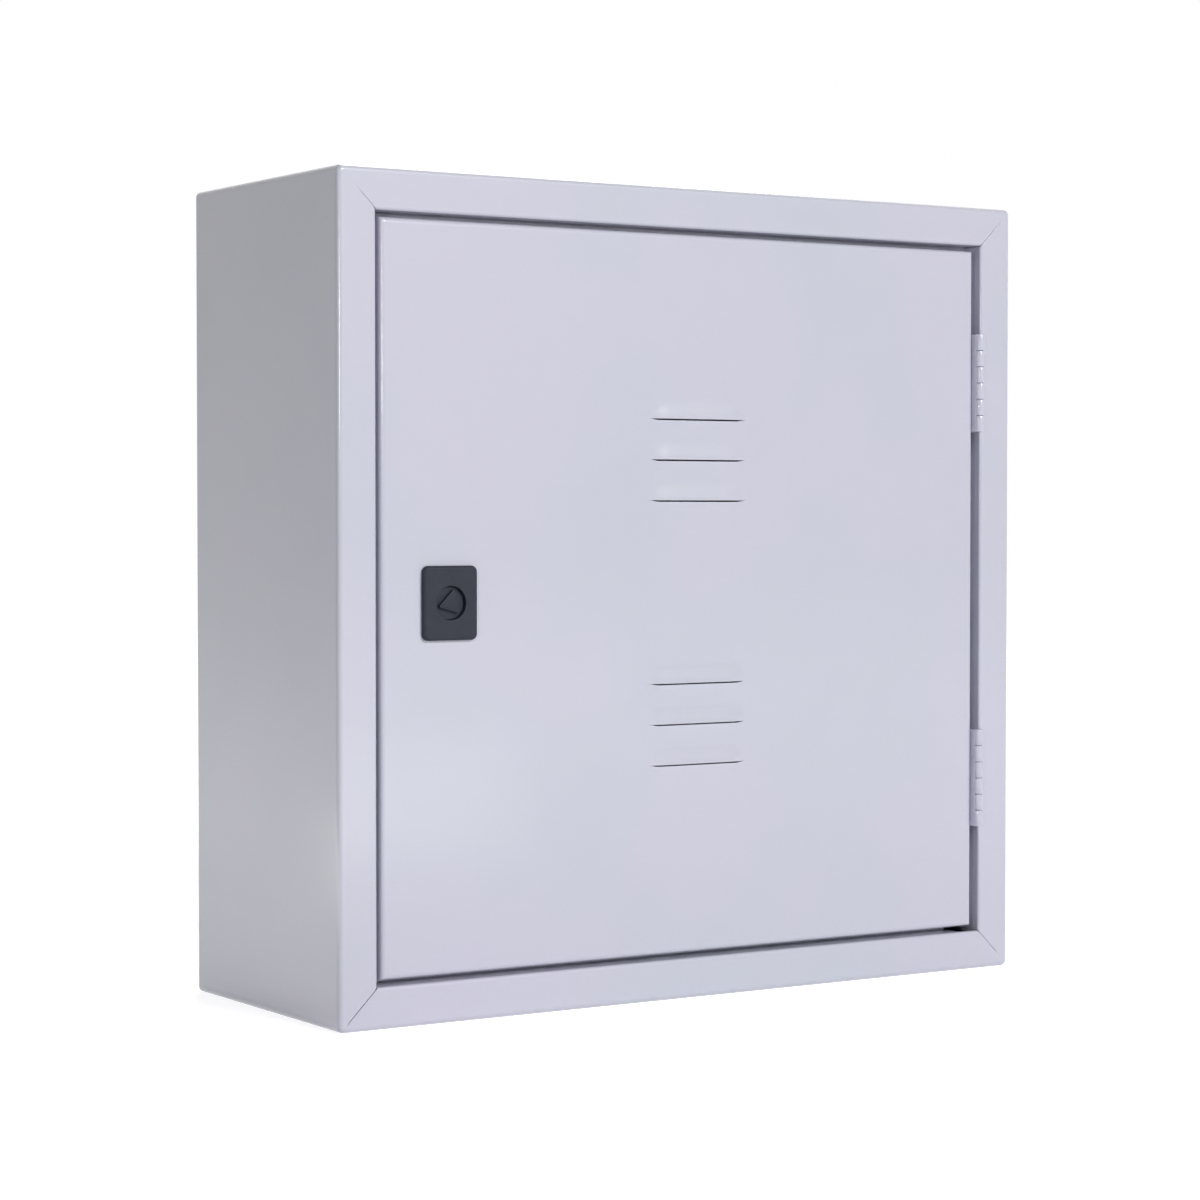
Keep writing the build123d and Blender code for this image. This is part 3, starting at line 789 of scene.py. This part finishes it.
fasteners = {
    "columns": 48,  # round a thread
    "rowsPerTurn": 6,
    "threadDepth": 0.61,  # share of the pitch
    "threadFlat": 0.2,  # share of its height that is cut off at crest and root
    "threadEnd": 0.2,  # by which the end is smaller than the root
    "headColumns": 72,
    "washerFace": 0.94,  # of the width over flats
    "headSlope": 0.5,  # of the chamfer on a hexagon
    "boreChamfer": 0.1,  # of half the width over flats
    # radius, length and pitch
    "boardStud": (3, 34.6, 1),
    "frameShank": (1.75, 10.8, 1.2),
    "camShank": (2.5, 11, 0.8),
    "earthStud": (3, 22, 1),
    # width over flats, height and bore
    "nut": (10, 5, 2.9),
    "frameHead": (7, 2.4, 0),
    "camHead": (8, 3, 0),
    # across, up, and out from the wall to the seat
    "boardStuds": [(x, z, 1.2) for x in (-150, 150) for z in (-75, 75)],
    "boardNuts": [(x, z, 27.8) for x in (-150, 150) for z in (-75, 75)],
    "frameScrews": [(x, 0, 27.4) for x in (-30, 30)],
    "camScrew": (-142, -2, 130),
    "earth": (-198.8, -60, -140),  # foot of the stud on the left wall, as X, Y and Z
    "earthNut": 1.6,  # from that wall
}


def rod(radius, length, pitch):
    # A thread: the radius falls and climbs once per pitch along the rod, and the pattern moves along
    # by a pitch per turn. Both ends are chamfered and closed on the axis.
    columns, flat = fasteners["columns"], fasteners["threadFlat"]
    angle = np.linspace(0, 2 * pi, columns, endpoint=False)
    along = np.linspace(0, length, int(length / pitch * fasteners["rowsPerTurn"]) + 1)
    wave = np.abs(2 * ((along[:, None] / pitch - angle[None, :] / (2 * pi)) % 1) - 1)
    depth = fasteners["threadDepth"] * pitch
    radii = radius - depth * np.clip((1 + 2 * flat) * wave - flat, 0, 1)
    end = np.minimum(along, length - along)[:, None]
    radii = np.minimum(radii, radius - depth - fasteners["threadEnd"] + end)
    radii = np.vstack([np.zeros(columns), radii, np.zeros(columns)])
    along = np.concatenate([[0], along, [length]])
    return np.stack([radii * np.cos(angle), radii * np.sin(angle),
                     np.broadcast_to(along[:, None], radii.shape)], -1)


def hexagon(flats, height, bore):
    # A hexagon whose corners are cut by a cone at both ends: at each angle the flat's distance is half
    # the width over flats divided by the cosine of the angle from the flat's middle.
    angle = np.linspace(0, 2 * pi, fasteners["headColumns"], endpoint=False)
    flat = flats / 2 / np.cos((angle + pi / 6) % (pi / 3) - pi / 6)
    face = np.full_like(flat, flats / 2 * fasteners["washerFace"])
    drop = (flat - face) * fasteners["headSlope"]
    level = np.ones_like(flat)
    if bore:
        sink = fasteners["boreChamfer"] * flats / 2
        rows = [(bore * level, sink * level), (bore * level, (height - sink) * level),
                ((bore + sink) * level, height * level), (face, height * level), (flat, height - drop),
                (flat, drop), (face, 0 * level), ((bore + sink) * level, 0 * level)]
    else:
        rows = [(0 * level, height * level), (face, height * level), (flat, height - drop),
                (flat, 0 * level), (0 * level, 0 * level)]
    radii, along = (np.stack(part) for part in zip(*rows))
    return np.stack([radii * np.cos(angle), radii * np.sin(angle), along], -1)


def standing(grid, place, way=1):
    # a form about its own axis, set up along the way out of the wall, or back into it
    x, z, out = place
    return np.stack([x + grid[..., 0], -(out + way * grid[..., 2]), z + grid[..., 1]], -1)


def fromLeft(grid, start):
    # the same, set up from the left wall's inner face about the earth stud's axis
    x, y, z = fasteners["earth"]
    return np.stack([x + start + grid[..., 2], y + grid[..., 0], z + grid[..., 1]], -1)


def makeFasteners():
    def pieceOf(name, node, grids, material=zinc, closed=False):
        surfaces = [surface(grid, wrapRows=closed, wrapColumns=True) for grid in grids]
        makePiece(name, surfaces, node, material, crease=meshing["threadCrease"])

    stud, nut = rod(*fasteners["boardStud"]), hexagon(*fasteners["nut"])
    pieceOf("threadedStuds", "board_studs", [standing(stud, place) for place in fasteners["boardStuds"]])
    pieceOf("boardNuts", "board_nuts", [standing(nut, place) for place in fasteners["boardNuts"]],
            closed=True)
    head, shank = hexagon(*fasteners["frameHead"]), rod(*fasteners["frameShank"])
    pieceOf("frameScrews", "frame_screws", [
        grid for place in fasteners["frameScrews"]
        for grid in (standing(head, place), standing(shank, place, -1))])
    head, shank = hexagon(*fasteners["camHead"]), rod(*fasteners["camShank"])
    pieceOf("camScrew", "lock_cam_screw", [
        standing(head, fasteners["camScrew"], -1), standing(shank, fasteners["camScrew"])])
    pieceOf("earthStud", "earth_stud", [fromLeft(rod(*fasteners["earthStud"]), 0)], brass)
    pieceOf("earthNut", "earth_nut", [fromLeft(nut, fasteners["earthNut"])], brass, closed=True)


contacts = {
    "ways": 20,
    "pitch": 5.7,
    "blocks": (-22.5, 0, 22.5),
    "floor": 80.2,  # out from the wall
    "tip": 86.2,
    "height": 18.6,
    "thickness": 0.8,
    "forks": (-6.4, 6.4),  # middles of the two wire slots of a blade
    "mouth": 1.3,  # half the width of a slot's mouth
    "funnel": 1.5,  # depth at which the mouth has narrowed to the throat
    "throat": 0.22,
    "reach": 4.2,
}


def makeContacts():
    # Each blade is a strip whose front edge is a function of height: full reach, with a funnel and a
    # narrow throat at each wire slot.
    half, side = contacts["height"] / 2, contacts["thickness"] / 2
    mouth, throat = contacts["mouth"], contacts["throat"]
    funnel, reach = contacts["funnel"], contacts["reach"]
    edge = [(-half, 0)]
    for fork in contacts["forks"]:
        edge += [(fork - mouth, 0), (fork - throat, funnel), (fork - throat, reach),
                 (fork + throat, reach), (fork + throat, funnel), (fork + mouth, 0)]
    z, cut = np.array(edge + [(half, 0)]).T
    front = contacts["tip"] - cut
    back = np.full_like(front, contacts["floor"])
    surfaces = []
    for height in contacts["blocks"]:
        for count in range(contacts["ways"]):
            x = (count - (contacts["ways"] - 1) / 2) * contacts["pitch"]
            rows = [(x - side, back), (x - side, front), (x + side, front), (x + side, back)]
            surfaces += bar(np.stack([
                np.stack([np.full_like(z, place), -out, height + z], -1) for place, out in rows]))
    makePiece("forkedContacts", surfaces, "block_contacts", tinned)


# Width of the edges that a press, a mould or a deburring wheel leaves round
edgeBreak = {
    "lock_housing": 0.45, "lock_core": 0.25, "lock_cam": 0.25, "lock_cam_washer": 0.15,
    "upper_hinge_pin": 0.3, "lower_hinge_pin": 0.3, "board_spacers": 0.3, "block_frame": 0.15,
    "terminal_block_1": 0.25, "terminal_block_2": 0.25, "terminal_block_3": 0.25,
    "guide_ring_1": 0.35, "guide_ring_2": 0.35, "guide_ring_3": 0.35, "guide_ring_4": 0.35,
    "earth_clamp": 0.2, "back_panel": 0.12, "backboard": 0.3,
}
edgeTool = {
    "weld": 0.002,  # triangles' points closer than this are joined
    "flat": 0.5,  # degrees up to which neighbours are one flat face
    "turn": 35,  # degrees from which an edge is rounded
    "segments": 2,
}


def softenEdges():
    # merges a node's loose triangles into its flat faces and rounds the edges between them
    for name, width in edgeBreak.items():
        node = nodes[name]
        weld = node.modifiers.new("weld", "WELD")
        weld.merge_threshold = edgeTool["weld"] * mm
        flat = node.modifiers.new("flat", "DECIMATE")
        flat.decimate_type = "DISSOLVE"
        flat.angle_limit = radians(edgeTool["flat"])
        edge = node.modifiers.new("edge", "BEVEL")
        edge.width = width * mm
        edge.segments = edgeTool["segments"]
        edge.limit_method = "ANGLE"
        edge.angle_limit = radians(edgeTool["turn"])
        edge.harden_normals = True


makeCabinet()
makeDoor()
print("cabinet and door made")
makeHinges()
makeFasteners()
makeContacts()
softenEdges()
print("hinges, fasteners and contacts made")


# Studio, in metres
studio = {
    "floor": -0.2,
    "reach": 30.0,
    "paper": "#e8e8ea",
    "ambient": 0.02,
    "glow": (0.78, 0.98),  # floor's own light beside the box and far from it
    "glowReach": (0.45, 1.1),  # from the box over which it rises
}

# place, aim, width and height, and power in watts
lamps = {
    "key": ((0.9, -4.3, 2.2), (0, -0.15, 0), (1.8, 1.4), 146),
    "strip": ((-1.25, -1.1, 0.2), (-0.2, -0.15, 0.1), (0.15, 0.16), 2.5),  # gleam along the left bends
    "bounce": ((-0.1, -0.75, -0.16), (0, -0.15, -0.14), (0.8, 0.08), 0.3),  # off the floor in front
    "side": ((-0.5, 0, -0.17), (-0.2, -0.06, -0.15), (0.6, 0.05), 0.19),  # off the floor on the left
    "back": ((1.3, 1.7, 2.8), (0, -0.07, 0), (1.6, 1.6), 42),  # for faces that the photograph hides
}


def areaLight(name):
    place, aim, size, watts = lamps[name]
    lamp = bpy.data.lights.new(name, "AREA")
    lamp.shape = "RECTANGLE"
    lamp.size, lamp.size_y = size
    lamp.energy = watts
    holder = bpy.data.objects.new(name, lamp)
    holder.location = place
    holder.rotation_euler = (Vector(aim) - Vector(place)).to_track_quat("-Z", "Y").to_euler()
    holder.visible_camera = False
    bpy.context.scene.collection.objects.link(holder)


def seenShare(tree):
    # 1 for a ray that shows the background, from the camera or by way of gloss or glass
    path = addNode(tree, "ShaderNodeLightPath")
    share = path.outputs["Is Camera Ray"]
    for kind in ("Is Glossy Ray", "Is Transmission Ray"):
        share = addNode(tree, "ShaderNodeMath", {0: share, 1: path.outputs[kind]},
                        operation="MAXIMUM").outputs[0]
    return share


def studioPaper(tree, place):
    # Matt paper with a light of its own that only the background's rays see, so that the floor is
    # white in the picture and still keeps the box's shadow.
    paper = addNode(tree, "ShaderNodeBsdfDiffuse", {"Color": linear(studio["paper"])})
    away = addNode(tree, "ShaderNodeVectorMath", {"Vector": place}, operation="LENGTH")
    level = addNode(tree, "ShaderNodeMapRange", {
        "Value": away.outputs["Value"], "From Min": studio["glowReach"][0],
        "From Max": studio["glowReach"][1], "To Min": studio["glow"][0], "To Max": studio["glow"][1]},
        interpolation_type="SMOOTHSTEP")
    glow = addNode(tree, "ShaderNodeEmission", {"Color": (1, 1, 1, 1), "Strength": level.outputs[0]})
    both = addNode(tree, "ShaderNodeAddShader", {0: paper.outputs[0], 1: glow.outputs[0]})
    return addNode(tree, "ShaderNodeMixShader", {
        0: seenShare(tree), 1: paper.outputs[0], 2: both.outputs[0]})


def setStudio():
    world = bpy.data.worlds.new("studio")
    bpy.context.scene.world = world
    world.use_nodes = True
    tree = world.node_tree
    tree.nodes.clear()
    level = addNode(tree, "ShaderNodeMapRange", {
        "Value": seenShare(tree), "To Min": studio["ambient"], "To Max": 1.0})
    light = addNode(tree, "ShaderNodeBackground", {"Color": (1, 1, 1, 1), "Strength": level.outputs[0]})
    addNode(tree, "ShaderNodeOutputWorld", {"Surface": light.outputs[0]})

    half, low = studio["reach"] / 2, studio["floor"]
    ground = bpy.data.meshes.new("floor")
    ground.from_pydata(
        [(-half, -half, low), (half, -half, low), (half, half, low), (-half, half, low)], [],
        [(0, 1, 2, 3)])
    floor = bpy.data.objects.new("floor", ground)
    bpy.context.scene.collection.objects.link(floor)
    ground.materials.append(makeMaterial("studio paper", studioPaper))
    for name in lamps:
        areaLight(name)


setStudio()
bpy.context.scene.view_settings.view_transform = "Standard"
print("studio lit")

bpy.context.view_layer.update()
